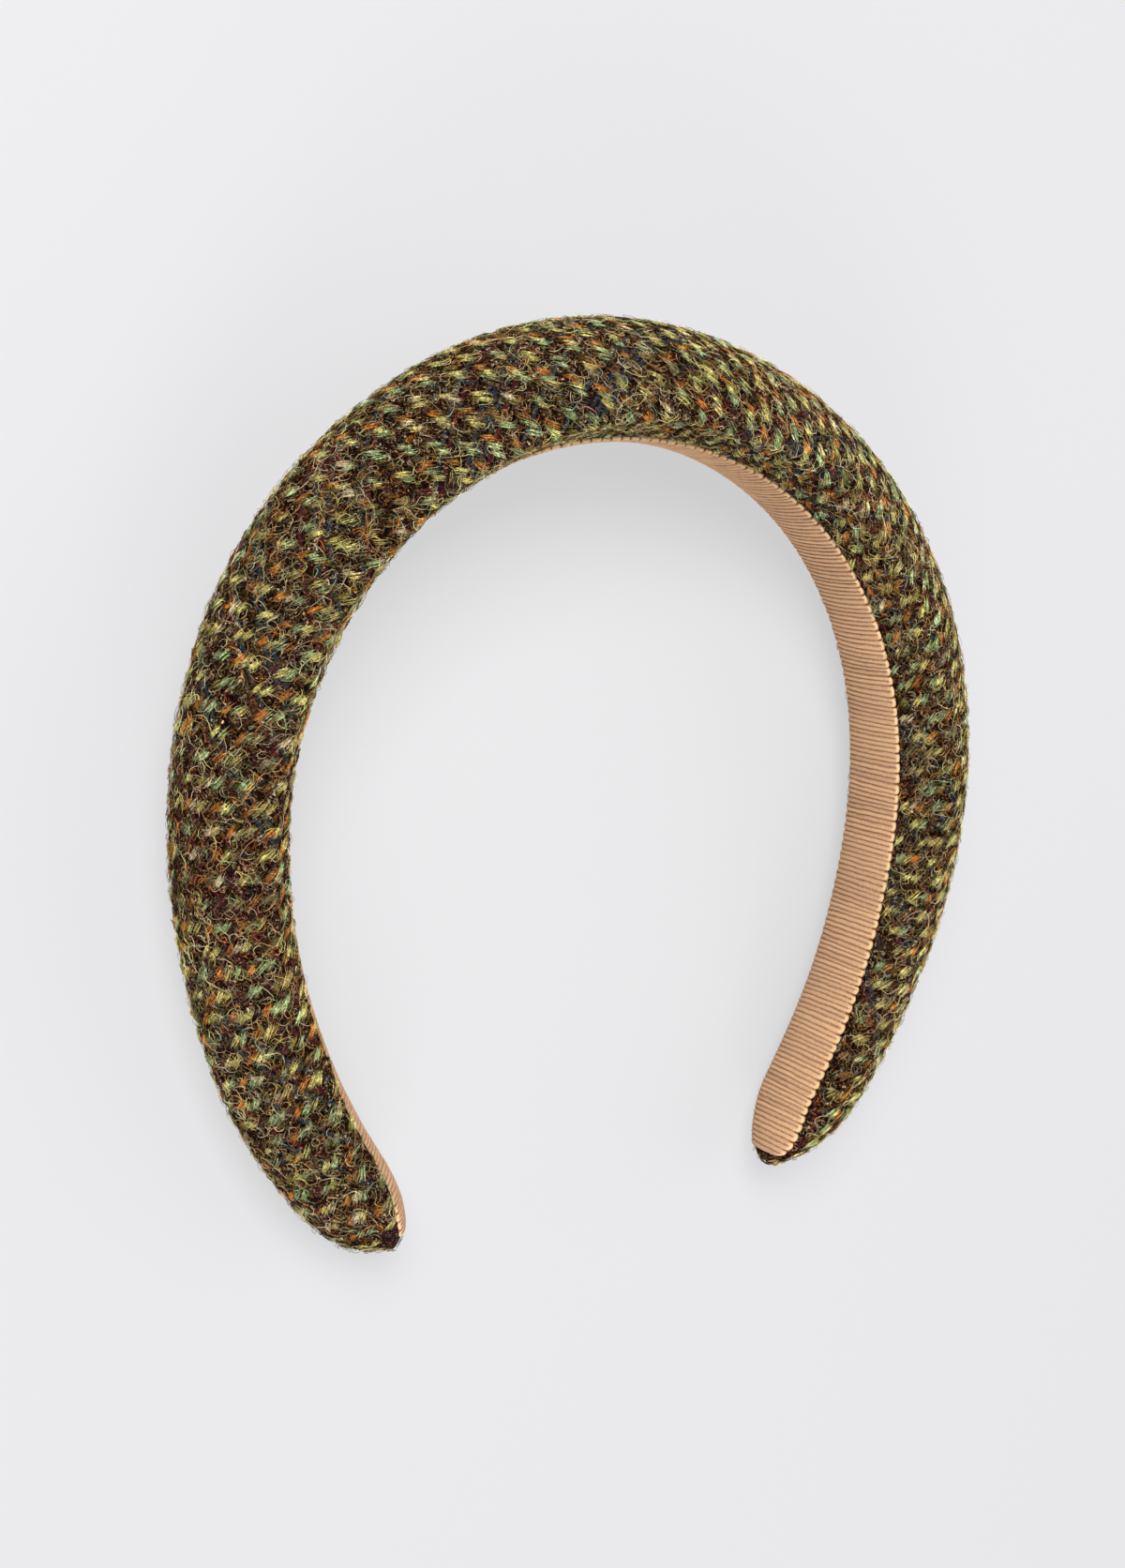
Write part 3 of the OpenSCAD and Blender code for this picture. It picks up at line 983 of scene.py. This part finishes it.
# The light yarns in their order: 0 light green, 1 rust, 2 plum, 3 dark
YARNS = np.array([0, 0, 1, 3, 0, 0, 2, 3])
DARK = 3
# Yarns, and floats along a yarn, to each side of the crown's middle: more than the cloth holds
YARNS_EACH_WAY, FLOATS_EACH_WAY = 260, 90
# Floats further from the crown's middle than this, along the band or round it, are left out
CLOTH_REACH = (0.3, 0.08)
# The cloth's lines go to one side by the drift times the squared length over this
DRIFT_REACH = 0.24


def mixed(rng, choices, count):
    """Colours picked from (share, colour) pairs, each a little lighter or darker."""
    share = np.array([c[0] for c in choices], float)
    picked = rng.choice(len(choices), count, p=share / share.sum())
    colours = np.array([tuple(c[1]) for c in choices])[picked]
    return colours * rng.uniform(0.75, 1.25, (count, 1)) * rng.uniform(0.94, 1.06, (count, 3))


def held_in(tints, top=0.85):
    """Colours made darker where a channel is above the top, so that the hue stays."""
    return tints * np.minimum(1, top / tints.max(-1, keepdims=True))


def float_layout(cloth, ribbon, weave, colours):
    """Where the floats lie on the cloth, which yarn each belongs to and its colour."""
    rng = np.random.default_rng(41)
    light, cross = weave_steps(weave)
    floats = []
    for yarn in range(-YARNS_EACH_WAY, YARNS_EACH_WAY + 1):
        # two over and two under, one crossing further on each yarn
        crossing = 4 * np.arange(-FLOATS_EACH_WAY, FLOATS_EACH_WAY + 1) + 1 - yarn
        place = crossing[:, None] * light + (yarn + 0.5) * cross
        keep = (np.abs(place) < CLOTH_REACH).all(1)
        floats.append(np.column_stack([place[keep], np.full(keep.sum(), yarn)]))
    floats = np.concatenate(floats)
    floats[:, 1] += weave.drift * floats[:, 0] ** 2 / DRIFT_REACH
    floats = floats[cloth.open_to_view(floats[:, 0], floats[:, 1], ribbon, 0.6 * MM)]
    sort = YARNS[floats[:, 2].astype(int) % len(YARNS)]
    tints = np.zeros((len(floats), 3))
    for kind, choices in enumerate((
            ((6, colours.moss), (4, colours.sage), (1, colours.straw)),
            ((5, colours.rust), (1, colours.olive)),
            ((3, colours.plum), (1, colours.rust), (1, colours.bark)),
            ((3, colours.pine), (4, colours.bark), (1, colours.plum)))):
        here = sort == kind
        tints[here] = mixed(rng, choices, here.sum())
    return floats[:, :2], sort, tints


# Points along one fibre of a float, and how unevenly the fibres lie: the scatter of a float's
# middle, of its fibres' ends to the side, of their height and of their ends' height
FIBRE_POINTS = 4
MIDDLE_SCATTER, END_SCATTER, LIFT_SCATTER, END_LIFT = 0.14 * MM, 0.24 * MM, 0.07 * MM, 0.14 * MM
# How far a float's twist carries a fibre from side to side, in half widths
TWIST = 0.3
# How light the yarn and the worn yarn are against their colours
YARN_LIGHT, WORN_LIGHT = 1.36, 0.46


class HEADBAND_OT_floats(bpy.types.Operator):
    """Adds the floats of the light, rust, plum and dark yarns, lying over the cross yarns"""
    bl_idname = "headband.floats"
    bl_label = "Yarn floats"
    bl_options = {"REGISTER", "UNDO"}

    def execute(self, context):
        ribbon, weave, colours = settings(context, "ribbon", "weave", "colours")
        cloth = SURFACE["cloth"]
        rng = np.random.default_rng(43)
        floats, sort, tints = float_layout(cloth, ribbon, weave, colours)
        count, fibres = len(floats), weave.fibres
        each = (count, fibres, 1)
        middle = floats + rng.normal(0, MIDDLE_SCATTER, (count, 2))
        heading = weave.lean + rng.normal(0, 0.10, count)
        ahead = np.stack([np.cos(heading), np.sin(heading)], -1)[:, None, None]
        aside = np.stack([-ahead[..., 1], ahead[..., 0]], -1)
        u = np.linspace(-1, 1, FIBRE_POINTS)[None, None]
        # each fibre lies to one side of the float's middle, and the float's twist carries it over
        side = np.linspace(-1, 1, fibres)[None, :, None] + rng.normal(0, 0.12, each)
        reach = weave.step * weave.float_overlap * rng.uniform(0.85, 1.15, (count, 1, 1))
        reach = reach * rng.uniform(0.6, 1.2, each)
        slide = rng.normal(0, 0.1, each) * weave.step
        lateral = np.clip(side * (1 - 0.15 * u ** 2) + TWIST * u, -1.1, 1.1)
        lateral = lateral * weave.float_width / 2 + rng.normal(0, END_SCATTER, each) * u ** 2
        path = (slide + reach * u)[..., None] * ahead + lateral[..., None] * aside
        steps = cloth.steps(middle[:, 0], middle[:, 1], path.reshape(count, -1, 2))
        path = middle[:, None, None] + steps.reshape(path.shape)
        # some floats are rubbed down into the cloth, in patches
        worn = np.sin(floats[:, 0] * 90 + 2) + np.sin(floats[:, 0] * 211 + floats[:, 1] * 140)
        worn = worn + np.sin(floats[:, 1] * 330 + 1) + rng.normal(0, 1.1, count) > 1.5
        proud = np.where(sort == DARK, 0.5, np.where(worn, 0.35, 1.0))[:, None, None]
        proud = proud * rng.uniform(0.75, 1.2, (count, 1, 1))
        # a float is round from side to side, and its ends go down into the cloth
        crown = np.sqrt(np.maximum(0.05, 1 - lateral ** 2 / (weave.float_width / 1.8) ** 2))
        lift = weave.float_rise * proud * (1 - 1.3 * u ** 2) + weave.float_height / 2 * crown
        lift = lift + rng.normal(0, LIFT_SCATTER, each) + np.abs(rng.normal(0, END_LIFT, each)) * u ** 4
        thick = weave.fibre / 2 * rng.uniform(0.7, 1.25, each) * (1 - 0.35 * u ** 2)
        shade = rng.lognormal(0, 0.36, (count, fibres, 1)) * rng.uniform(0.92, 1.08, (count, fibres, 3))
        light = np.where(worn, WORN_LIGHT, YARN_LIGHT)[:, None, None]
        tints = held_in(tints[:, None] * shade * light)
        odd = rng.random((count, fibres)) < np.where(worn, 0.4, 0.12)[:, None]
        tints[odd] = mixed(rng, ((3, colours.umber), (2, colours.olive), (1, colours.rust),
                                 (2, colours.tan), (2, colours.bark)), odd.sum())
        wool = yarn_material(colours)
        left = floats[:, 0] < 0
        # a piece's name, its floats, and which of their fibres it keeps: every one or every second
        for name, here, every in (
                ("light_yarn_floats_left", (sort == 0) & left, 1),
                ("light_yarn_floats_right", (sort == 0) & ~left, 1),
                ("rust_and_plum_yarn_floats", (sort == 1) | (sort == 2), 1),
                ("dark_yarn_floats", sort == DARK, 2)):
            piece = strands(name, cloth, *(x[here][:, ::every].reshape(-1, *x.shape[2:])
                                           for x in (path, lift, thick, tints)))
            piece.data.materials.append(wool)
            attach(piece, "root")
        return {"FINISHED"}


def curly_paths(rng, heading, lengths, points, bend):
    """Curled lines about their own middles, bend being their radius."""
    count = len(heading)
    curl = rng.choice([-1, 1], count) / bend
    wave = rng.uniform(0, 2 * math.pi, count)
    step = lengths / (points - 1)
    path = np.zeros((count, points, 2))
    for k in range(1, points):
        path[:, k] = path[:, k - 1] + step[:, None] * np.stack([np.cos(heading), np.sin(heading)], -1)
        heading = heading + curl * step * (1 + 0.8 * np.sin(wave + 1.3 * k))
    return path - path.mean(1, keepdims=True)


# The loose wool: name, size that says how many, points in a strand, size that says how long, the
# tightest and the loosest radius of its curls, the share that comes off a float, and seed
LOOSE_WOOL = (
    ("wool_fuzz", "curls", 7, "reach", 0.4 * MM, 1.6 * MM, 0.2, 7),
    ("long_wool_curls", "long_curls", 9, "long_reach", 1.4 * MM, 6 * MM, 0.0, 8),
)
# A strand's ends lie this far over the cloth, and no part of it lies further than this
STRAND_LOW, STRAND_HIGH = 0.1 * MM, 0.9 * MM
# A strand is at most this many times as long as its curls' radius
MOST_CURL = 6
# No strand comes nearer than this to the end of a tip
TIP_CLEAR = 2 * MM
# The crown's piece of the wool reaches this share of the way to each tip
CROWN_SHARE = 0.3


class HEADBAND_OT_fuzz(bpy.types.Operator):
    """Adds the loose curled wool that covers the tweed"""
    bl_idname = "headband.fuzz"
    bl_label = "Loose wool"
    bl_options = {"REGISTER", "UNDO"}

    def execute(self, context):
        ribbon, weave, fuzz, colours = settings(context, "ribbon", "weave", "fuzz", "colours")
        cloth = SURFACE["cloth"]
        wool = strand_material()
        low, high = cloth.length[0], cloth.length[-1]
        span = max(cloth.front.max(), cloth.back.max())
        palette = ((7, colours.olive), (7, colours.umber), (4, colours.moss), (9, colours.tan),
                   (9, colours.straw), (3, colours.sage), (2, colours.rust), (3, colours.pine),
                   (8, colours.bark), (5, colours.plum))
        floats, sort, yarn_tints = float_layout(cloth, ribbon, weave, colours)
        floats, yarn_tints = floats[sort != DARK], yarn_tints[sort != DARK]
        for label, how_many, points, how_long, tight, loose, off_yarn, seed in LOOSE_WOOL:
            rng = np.random.default_rng(seed)
            count = getattr(fuzz, how_many)
            start = np.zeros((0, 2))
            while len(start) < count:
                place = rng.uniform((low, -span), (high, span), (4 * count, 2))
                seen = cloth.open_to_view(place[:, 0], place[:, 1], ribbon, 0.4 * MM)
                start = np.concatenate([start, place[seen]])
            start = start[:count]
            heading = rng.uniform(0, 2 * math.pi, count)
            tints = mixed(rng, palette, count)
            # some of the wool comes loose from a float and keeps its colour and, roughly, its way
            near = rng.random(count) < off_yarn
            which = rng.integers(0, len(floats), count)
            start[near] = (floats[which] + rng.normal(0, 0.8 * MM, (count, 2)))[near]
            heading[near] = (weave.lean + rng.normal(0, 0.5, count))[near]
            tints[near] = yarn_tints[which][near]
            tints = held_in(tints * rng.lognormal(0, 0.42, (count, 1)))
            lengths = getattr(fuzz, how_long) * rng.lognormal(0, 0.3, count) * np.where(near, 0.8, 1.0)
            bend = rng.uniform(tight, loose, count) * np.where(near, 2.0, 1.0)
            path = curly_paths(rng, heading, np.minimum(lengths, MOST_CURL * bend), points, bend)
            path = start[:, None] + cloth.steps(start[:, 0], start[:, 1], path)
            u = np.linspace(0, 1, points)[None]
            arch = np.sin(math.pi * u)
            rise = fuzz.height * rng.lognormal(-0.1, 0.5, count)[:, None]
            wobble = 1 + 0.35 * np.sin(rng.uniform(0, 6.28, count)[:, None] + 9 * u)
            lift = np.minimum(STRAND_LOW + rise * arch ** 0.6 * wobble, STRAND_HIGH)
            thick = fuzz.strand / 2 * rng.uniform(0.7, 1.25, count)[:, None]
            thick = thick * (0.45 + 0.55 * arch ** 0.4)
            s, t = path[..., 0], path[..., 1]
            keep = cloth.open_to_view(s, t, ribbon, -0.4 * MM) & (s > low + TIP_CLEAR)
            keep = (keep & (s < high - TIP_CLEAR)).all(1)
            parts = (("", keep),)
            if label == "wool_fuzz":
                left, right = start[:, 0] < -CROWN_SHARE * high, start[:, 0] > CROWN_SHARE * high
                parts = (("_left", keep & left), ("_crown", keep & ~left & ~right),
                         ("_right", keep & right))
            for part, here in parts:
                piece = strands(label + part, cloth, path[here], lift[here], thick[here], tints[here])
                piece.data.materials.append(wool)
                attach(piece, "root")
        return {"FINISHED"}


# Shares of the way over one rib at which the ribbon has a row of points
RIB_PHASES = np.array([0.0, 0.09, 0.32, 0.68, 0.91])
# The same from the middle of its face to an edge, closer together by the edge's loops, and how
# many points there are across its back
FACE_SHARES = np.array([0.23, 0.46, 0.7, 0.88, 0.945, 0.985, 1])
BACK_POINTS = 5
# Where along those shares the loops take over from the ribs, and over what share
LOOPS_START, LOOPS_BLEND = 0.945, 0.05
# How far the ribs bow, how far they wander as a share of the pitch, and over how many points
BOW, WANDER, WANDER_POINTS = 0.25 * MM, 0.10, 25
# The left leg's slant against the right leg's, and the length over which a slant comes in
LEFT_SKEW, SKEW_REACH = -2, 30 * MM
# The share of its width that the ribbon has at its very end
END_SHARE = 0.35


class HEADBAND_OT_ribbon(bpy.types.Operator):
    """Adds the ribbed grosgrain ribbon along the head side"""
    bl_idname = "headband.ribbon"
    bl_label = "Ribbon lining"
    bl_options = {"REGISTER", "UNDO"}

    def execute(self, context):
        form, sizes, colours = settings(context, "form", "ribbon", "colours")
        band = Band(form)
        rng = np.random.default_rng(17)
        end = form.half_arc - sizes.setback
        ribs = 2 * int(round(end / sizes.rib_pitch))
        pitch = 2 * end / ribs
        # rows of points along the ribbon, each at its phase over one rib
        number = np.concatenate([np.repeat(np.arange(ribs), len(RIB_PHASES)), [ribs]])
        phase = np.concatenate([np.tile(RIB_PHASES, ribs), [0.0]])
        place = -end + pitch * (number + phase)
        rib = np.sin(math.pi * phase) ** 0.8
        loop = np.sin(math.pi * np.mod(number + phase, 2) / 2) ** 0.8
        # points round the ribbon: its face, an edge, its back and the other edge
        face = np.concatenate([-FACE_SHARES[::-1], [0], FACE_SHARES])
        across = np.concatenate([face, [1], np.linspace(1, -1, BACK_POINTS), [-1, -1]])
        depth = np.concatenate([np.ones(len(face)), [0.45], np.zeros(BACK_POINTS), [0.45, 1]])
        near_edge = np.clip((np.abs(across) - LOOPS_START) / LOOPS_BLEND, 0, 1)[None]
        # the ribs slant and wander a little, less so near the trimmed ends, and more on the left leg
        calm = np.minimum(1, (end - np.abs(place)) / sizes.end_round)
        skew = (sizes.skew * np.where(place > 0, 1, LEFT_SKEW)
                * np.minimum(1, np.abs(place) / SKEW_REACH))
        drift = rng.normal(0, 1, len(place) + WANDER_POINTS - 1)
        drift = np.convolve(drift, np.ones(WANDER_POINTS) / math.sqrt(WANDER_POINTS), "valid")
        trim = np.maximum(0, np.abs(place) - end + sizes.end_round) / sizes.end_round
        share = END_SHARE + (1 - END_SHARE) * rounded(trim, 2)
        half = (sizes.width / 2 * share - sizes.selvedge * (1 - loop))[:, None]
        v = half * across[None]
        slant = skew[:, None] * v - BOW * (across[None] ** 2 - 0.4)
        along = place[:, None] - np.minimum(1, 3 * calm)[:, None] * slant
        along = along + (calm * WANDER * pitch * drift)[:, None] * (1 + across[None])
        back = band.head_side(np.abs(along), v) - sizes.gap - raised(form, along)
        height = (rib * rng.uniform(0.86, 1.0, ribs + 1)[number])[:, None]
        height = height * (1 - near_edge) + loop[:, None] * near_edge
        soft = 1 - 0.3 * np.abs(across[None]) ** 14
        thick = (sizes.thickness - sizes.rib_height * (1 - height)) * soft
        points = band.rested(band.on_band(along, v, back - depth[None] * thick))
        cap = points[[0, -1]].mean(1, keepdims=True)
        points = np.concatenate([np.repeat(cap[:1], points.shape[1], 1), points,
                                 np.repeat(cap[1:], points.shape[1], 1)])
        place = np.concatenate([[-end], place, [end]])
        count = (place + end)[:, None] / pitch * sizes.rib_pitch
        uv = np.stack([np.broadcast_to(count, points.shape[:2]),
                       np.broadcast_to(across[None] * sizes.width / 2, points.shape[:2])], -1)
        piece = wrapped("ribbon_lining", points, uv)
        piece.data.attributes.remove(piece.data.attributes["cage"])
        piece.data.materials.append(ribbon_material(sizes, colours))
        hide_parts("grosgrain_lining")
        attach(piece, "root")
        return {"FINISHED"}


# The floor's radius, and the share of the light on it that it throws back
FLOOR_RADIUS, FLOOR_SHARE = 4, 0.22
# The width of the camera's sensor, in millimetres
SENSOR = 36
# The lamps: name, the stage's property with its power, size and place, in metres
LAMPS = (
    ("key light", "key", 0.5, (-0.34, 0.50, 0.85)),
    ("fill light", "fill", 1.0, (0.9, 0.05, 0.65)),
    ("low light", "low", 0.6, (-0.15, -0.95, 0.42)),
)
LAMP_TARGET = Vector((0, 0, 0.02))


def upright(p):
    """A point or direction of the band stood on its tips, as it lies in the frame before it leans."""
    p = np.asarray(p, float)
    return np.stack([p[..., 0], p[..., 2], -p[..., 1]], -1)


class HEADBAND_OT_stage(bpy.types.Operator):
    """Adds the floor, the soft light and the camera"""
    bl_idname = "headband.stage"
    bl_label = "Floor, light and camera"
    bl_options = {"REGISTER", "UNDO"}

    def execute(self, context):
        form, colours, stage = settings(context, "form", "colours", "stage")
        band = Band(form)
        scene = context.scene
        deselect()
        bpy.ops.mesh.primitive_circle_add(vertices=96, radius=FLOOR_RADIUS, fill_type="NGON")
        floor = bpy.context.object
        floor.name = "floor"
        material, _, shader = new_material("Matt floor", 1.0, specular=0.0)
        shader.inputs["Base Color"].default_value = (*(FLOOR_SHARE * c for c in colours.floor), 1)
        shader.inputs["Emission Color"].default_value = (*colours.floor, 1)
        shader.inputs["Emission Strength"].default_value = stage.glow
        floor.data.materials.append(material)

        scene.view_settings.view_transform = "Standard"
        world = bpy.data.worlds.new("Soft light")
        scene.world = world
        world.use_nodes = True
        back = world.node_tree.nodes["Background"]
        back.inputs["Color"].default_value = (1, 1, 1, 1)
        back.inputs["Strength"].default_value = stage.sky

        # the camera's axes and place, first about the upright band and then with it on the floor
        a, e, r = stage.turn, stage.lift, stage.roll
        out = np.array([math.sin(a) * math.cos(e), -math.cos(a) * math.cos(e), math.sin(e)])
        right = np.array([math.cos(a), math.sin(a), 0.0])
        up = np.cross(out, right)
        right, up = (right * math.cos(r) + up * math.sin(r), up * math.cos(r) - right * math.sin(r))
        eye = np.array([0, 0, -stage.aim_drop]) + out * stage.distance
        axes = [band.turned(upright(d)) for d in (right, up, out)]
        where = band.turned(upright(eye)) - band.middle
        camera = bpy.data.objects.new("camera", bpy.data.cameras.new("camera"))
        scene.collection.objects.link(camera)
        matrix = Matrix.Identity(4)
        for k, axis in enumerate((*axes, where)):
            for j in range(3):
                matrix[j][k] = float(axis[j])
        camera.matrix_world = matrix
        camera.data.sensor_width = SENSOR
        camera.data.lens = stage.focal
        camera.data.shift_x, camera.data.shift_y = stage.shift_x, stage.shift_y
        camera.data.clip_start, camera.data.clip_end = 0.01, 50
        scene.camera = camera

        for name, power, size, place in LAMPS:
            data = bpy.data.lights.new(name, "AREA")
            data.energy, data.size = getattr(stage, power), size
            lamp = bpy.data.objects.new(name, data)
            scene.collection.objects.link(lamp)
            lamp.location = place
            lamp.rotation_euler = (LAMP_TARGET - Vector(place)).to_track_quat("-Z", "Y").to_euler()
        return {"FINISHED"}


class HEADBAND_PT_panel(bpy.types.Panel):
    """Lists the headband's sizes, colours and pieces"""
    bl_idname = "HEADBAND_PT_panel"
    bl_label = "Padded headband"
    bl_space_type = "VIEW_3D"
    bl_region_type = "UI"
    bl_category = "Headband"

    def draw(self, context):
        layout = self.layout
        for operator in OPERATORS:
            layout.operator(operator.bl_idname)
        for key, kind in GROUPS:
            box = layout.box()
            box.label(text=kind.__doc__)
            for name in kind.__annotations__:
                box.prop(getattr(context.scene, key), name)


GROUPS = (
    ("headband_form", HEADBAND_PG_form),
    ("headband_ribbon", HEADBAND_PG_ribbon),
    ("headband_weave", HEADBAND_PG_weave),
    ("headband_fuzz", HEADBAND_PG_fuzz),
    ("headband_colours", HEADBAND_PG_colours),
    ("headband_stage", HEADBAND_PG_stage),
)
OPERATORS = (HEADBAND_OT_stage, HEADBAND_OT_cover, HEADBAND_OT_floats, HEADBAND_OT_fuzz,
             HEADBAND_OT_ribbon)


def register():
    for key, kind in GROUPS:
        bpy.utils.register_class(kind)
        setattr(bpy.types.Scene, key, PointerProperty(type=kind))
    for kind in (*OPERATORS, HEADBAND_PT_panel):
        bpy.utils.register_class(kind)


def unregister():
    for kind in (HEADBAND_PT_panel, *reversed(OPERATORS)):
        bpy.utils.unregister_class(kind)
    for key, kind in reversed(GROUPS):
        delattr(bpy.types.Scene, key)
        bpy.utils.unregister_class(kind)


def main():
    register()
    bpy.ops.headband.stage()
    bpy.ops.headband.cover()
    bpy.ops.headband.floats()
    bpy.ops.headband.fuzz()
    bpy.ops.headband.ribbon()


if __name__ == "__main__":
    main()
